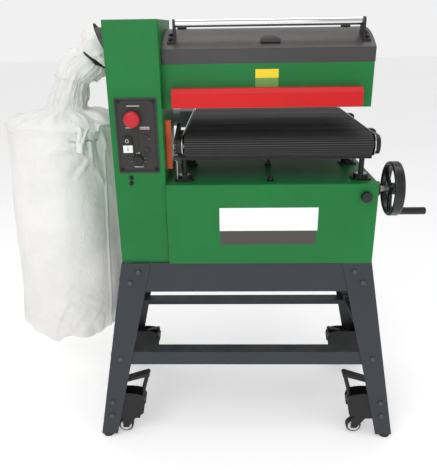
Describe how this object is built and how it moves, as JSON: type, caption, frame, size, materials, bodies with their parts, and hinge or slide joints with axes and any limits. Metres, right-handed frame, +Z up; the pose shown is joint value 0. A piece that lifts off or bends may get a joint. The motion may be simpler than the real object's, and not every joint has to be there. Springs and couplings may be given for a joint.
{
  "type": "drum sander",
  "caption": "Floor-standing drum sander: belt-fed table raised by a side handwheel, hinged dust hood, filter bag, splayed steel stand with pedal-lowered casters.",
  "frame": {"origin": "bottom centre of the machine's bounding box, on the floor", "axes": "+X along the drum towards the handwheel, +Y from the infeed side to the outfeed side, +Z up"},
  "size_m": [1.2406, 0.6104, 1.153],
  "materials": {
    "green_paint": "powder coat, slightly textured gloss",
    "slate_paint": "satin powder coat",
    "hood_grey": "satin powder coat",
    "guard_red": "gloss paint",
    "stop_red": "moulded gloss",
    "button_white": "moulded satin",
    "button_black": "moulded satin",
    "wheel_black": "moulded satin",
    "panel_grey": "fine texture",
    "rubber_black": "matte",
    "feed_belt": "ribbed matte",
    "black_steel": "black oxide and paint",
    "fan_grey": "satin paint",
    "motor_grey": "satin paint",
    "bolt_black": "black oxide",
    "bright_steel": "ground",
    "bar_chrome": "polished",
    "drum_alloy": "turned",
    "pulley_iron": "machined",
    "abrasive_brown": "coated grit",
    "bag_cloth": "filter cloth",
    "strap_black": "woven strap"
  },
  "bodies": {
    "frame": {"stand_legs": "slate_paint", "stand_rails": "slate_paint", "foot_pads": "rubber_black", "fasteners": "bolt_black", "caster_brackets": "black_steel", "base_cabinet": "green_paint", "drive_column": "green_paint", "column_back_cover": "green_paint", "control_panel": "panel_grey", "head_casing": "green_paint", "infeed_guard": "guard_red", "drive_motor": "motor_grey", "drive_belt": "rubber_black", "flange_bearings": "black_steel", "fan_housing": "fan_grey", "bag_clamp": "strap_black", "dust_bag": "bag_cloth", "lift_chain": "bright_steel"},
    "pedal_front_left": {"caster_lever_front_left": "black_steel"},
    "swivel_front_left": {"caster_fork_front_left": "black_steel"},
    "wheel_front_left": {"caster_wheel_front_left": "rubber_black"},
    "pedal_front_right": {"caster_lever_front_right": "black_steel"},
    "swivel_front_right": {"caster_fork_front_right": "black_steel"},
    "wheel_front_right": {"caster_wheel_front_right": "rubber_black"},
    "pedal_rear_left": {"caster_lever_rear_left": "black_steel"},
    "swivel_rear_left": {"caster_fork_rear_left": "black_steel"},
    "wheel_rear_left": {"caster_wheel_rear_left": "rubber_black"},
    "pedal_rear_right": {"caster_lever_rear_right": "black_steel"},
    "swivel_rear_right": {"caster_fork_rear_right": "black_steel"},
    "wheel_rear_right": {"caster_wheel_rear_right": "rubber_black"},
    "drum": {"sanding_drum": "drum_alloy", "abrasive_strip": "abrasive_brown", "drum_pulley": "pulley_iron"},
    "motor_rotor": {"motor_pulley": "pulley_iron"},
    "impeller": {"fan_impeller": "drum_alloy"},
    "pressure_roller_front": {"pressure_roller_front": "rubber_black"},
    "pressure_roller_rear": {"pressure_roller_rear": "rubber_black"},
    "hood": {"dust_hood": "hood_grey", "handle_bar": "bar_chrome", "handle_brackets": "black_steel"},
    "latch": {"hood_latch": "bar_chrome"},
    "stop_button": {"stop_button": "stop_red"},
    "off_button": {"off_button": "button_black"},
    "on_button": {"on_button": "button_white"},
    "speed_knob": {"speed_knob": "button_black"},
    "table": {"conveyor_table": "bright_steel", "conveyor_belt": "feed_belt", "roller_blocks": "black_steel", "feed_motor": "motor_grey", "lift_screws": "bright_steel"},
    "drive_roller": {"drive_roller": "bright_steel"},
    "idler_roller": {"idler_roller": "bright_steel"},
    "crank": {"handwheel": "wheel_black", "crank_shaft": "bright_steel"},
    "crank_grip": {"crank_handle": "wheel_black"},
    "lock_knob": {"lock_knob": "button_black"},
    "lift_nut_front_left": {"lift_nut_front_left": "bright_steel"},
    "lift_nut_front_right": {"lift_nut_front_right": "bright_steel"},
    "lift_nut_rear_left": {"lift_nut_rear_left": "bright_steel"},
    "lift_nut_rear_right": {"lift_nut_rear_right": "bright_steel"}
  },
  "joints": [
    {"name": "pedal_front_left", "type": "hinge", "parent": "frame", "child": "pedal_front_left", "pos_m": [-0.16975, -0.27577, 0.112], "axis": [0, 1, 0], "range_deg": [-25, 0]},
    {"name": "swivel_front_left", "type": "hinge", "parent": "pedal_front_left", "child": "swivel_front_left", "pos_m": [-0.20375, -0.27577, 0.054], "axis": [0, 0, 1], "continuous": true},
    {"name": "wheel_spin_front_left", "type": "hinge", "parent": "swivel_front_left", "child": "wheel_front_left", "pos_m": [-0.22275, -0.27577, 0.026], "axis": [0, 1, 0], "continuous": true},
    {"name": "pedal_front_right", "type": "hinge", "parent": "frame", "child": "pedal_front_right", "pos_m": [0.44025, -0.27577, 0.112], "axis": [0, 1, 0], "range_deg": [0, 25]},
    {"name": "swivel_front_right", "type": "hinge", "parent": "pedal_front_right", "child": "swivel_front_right", "pos_m": [0.47425, -0.27577, 0.054], "axis": [0, 0, 1], "continuous": true},
    {"name": "wheel_spin_front_right", "type": "hinge", "parent": "swivel_front_right", "child": "wheel_front_right", "pos_m": [0.45525, -0.27577, 0.026], "axis": [0, 1, 0], "continuous": true},
    {"name": "pedal_rear_left", "type": "hinge", "parent": "frame", "child": "pedal_rear_left", "pos_m": [-0.16975, 0.08423, 0.112], "axis": [0, 1, 0], "range_deg": [-25, 0]},
    {"name": "swivel_rear_left", "type": "hinge", "parent": "pedal_rear_left", "child": "swivel_rear_left", "pos_m": [-0.20375, 0.08423, 0.054], "axis": [0, 0, 1], "continuous": true},
    {"name": "wheel_spin_rear_left", "type": "hinge", "parent": "swivel_rear_left", "child": "wheel_rear_left", "pos_m": [-0.22275, 0.08423, 0.026], "axis": [0, 1, 0], "continuous": true},
    {"name": "pedal_rear_right", "type": "hinge", "parent": "frame", "child": "pedal_rear_right", "pos_m": [0.44025, 0.08423, 0.112], "axis": [0, 1, 0], "range_deg": [0, 25]},
    {"name": "swivel_rear_right", "type": "hinge", "parent": "pedal_rear_right", "child": "swivel_rear_right", "pos_m": [0.47425, 0.08423, 0.054], "axis": [0, 0, 1], "continuous": true},
    {"name": "wheel_spin_rear_right", "type": "hinge", "parent": "swivel_rear_right", "child": "wheel_rear_right", "pos_m": [0.45525, 0.08423, 0.026], "axis": [0, 1, 0], "continuous": true},
    {"name": "drum_spin", "type": "hinge", "parent": "frame", "child": "drum", "pos_m": [0.19425, -0.04477, 1.002], "axis": [1, 0, 0], "continuous": true},
    {"name": "motor_spin", "type": "hinge", "parent": "frame", "child": "motor_rotor", "pos_m": [-0.13975, -0.09577, 0.607], "axis": [1, 0, 0], "continuous": true},
    {"name": "impeller_spin", "type": "hinge", "parent": "frame", "child": "impeller", "pos_m": [-0.14775, 0.07923, 1.066], "axis": [0, 1, 0], "continuous": true},
    {"name": "press_spin_front", "type": "hinge", "parent": "frame", "child": "pressure_roller_front", "pos_m": [0.19425, -0.13477, 0.948], "axis": [1, 0, 0], "continuous": true},
    {"name": "press_spin_rear", "type": "hinge", "parent": "frame", "child": "pressure_roller_rear", "pos_m": [0.19425, 0.04523, 0.948], "axis": [1, 0, 0], "continuous": true},
    {"name": "hood_lift", "type": "hinge", "parent": "frame", "child": "hood", "pos_m": [0.19425, 0.11323, 1.052], "axis": [-1, 0, 0], "range_deg": [0, 80]},
    {"name": "latch_turn", "type": "hinge", "parent": "hood", "child": "latch", "pos_m": [0.19425, -0.17077, 1.09848], "axis": [0, -0.4709, 0.8822], "range_deg": [0, 90]},
    {"name": "stop_press", "type": "slide", "parent": "frame", "child": "stop_button", "axis": [0, 1, 0], "range_m": [0, 0.005], "stiffness_N_per_m": 600},
    {"name": "off_press", "type": "slide", "parent": "frame", "child": "off_button", "axis": [0, 1, 0], "range_m": [0, 0.003], "stiffness_N_per_m": 400},
    {"name": "on_press", "type": "slide", "parent": "frame", "child": "on_button", "axis": [0, 1, 0], "range_m": [0, 0.003], "stiffness_N_per_m": 400},
    {"name": "speed_turn", "type": "hinge", "parent": "frame", "child": "speed_knob", "pos_m": [-0.13875, -0.23177, 0.822], "axis": [0, 1, 0], "range_deg": [0, 270]},
    {"name": "table_lift", "type": "slide", "parent": "frame", "child": "table", "axis": [0, 0, 1], "range_m": [-0.04, 0.054]},
    {"name": "crank_turn", "type": "hinge", "parent": "frame", "child": "crank", "pos_m": [0.51225, -0.18077, 0.726], "axis": [1, 0, 0], "range_deg": [-4861, 3601]},
    {"name": "grip_spin", "type": "hinge", "parent": "crank", "child": "crank_grip", "pos_m": [0.53925, -0.18077, 0.663], "axis": [1, 0, 0], "continuous": true},
    {"name": "lift_nut_front_left", "type": "hinge", "parent": "frame", "child": "lift_nut_front_left", "pos_m": [-0.02675, -0.18077, 0.756], "axis": [0, 0, 1], "range_deg": [-4861, 3601]},
    {"name": "lift_nut_front_right", "type": "hinge", "parent": "frame", "child": "lift_nut_front_right", "pos_m": [0.43825, -0.18077, 0.756], "axis": [0, 0, 1], "range_deg": [-4861, 3601]},
    {"name": "lift_nut_rear_left", "type": "hinge", "parent": "frame", "child": "lift_nut_rear_left", "pos_m": [-0.02675, -0.01077, 0.756], "axis": [0, 0, 1], "range_deg": [-4861, 3601]},
    {"name": "lift_nut_rear_right", "type": "hinge", "parent": "frame", "child": "lift_nut_rear_right", "pos_m": [0.43825, -0.01077, 0.756], "axis": [0, 0, 1], "range_deg": [-4861, 3601]},
    {"name": "lock_turn", "type": "hinge", "parent": "frame", "child": "lock_knob", "pos_m": [0.44325, -0.23777, 0.723], "axis": [0, 1, 0], "range_deg": [-180, 0]},
    {"name": "feed_roller_spin", "type": "hinge", "parent": "table", "child": "drive_roller", "pos_m": [0.21575, 0.27423, 0.8495], "axis": [1, 0, 0], "continuous": true},
    {"name": "idler_roller_spin", "type": "hinge", "parent": "table", "child": "idler_roller", "pos_m": [0.21575, -0.20077, 0.8495], "axis": [1, 0, 0], "continuous": true}
  ],
  "couplings": [
    {"joint": "motor_spin", "follows": "drum_spin", "ratio": 1.9375},
    {"joint": "crank_turn", "follows": "table_lift", "rad_per_m": -1570.8},
    {"joint": "lift_nut_front_left", "follows": "table_lift", "rad_per_m": -1570.8},
    {"joint": "lift_nut_front_right", "follows": "table_lift", "rad_per_m": -1570.8},
    {"joint": "lift_nut_rear_left", "follows": "table_lift", "rad_per_m": -1570.8},
    {"joint": "lift_nut_rear_right", "follows": "table_lift", "rad_per_m": -1570.8},
    {"joint": "idler_roller_spin", "follows": "feed_roller_spin", "ratio": 1}
  ]
}
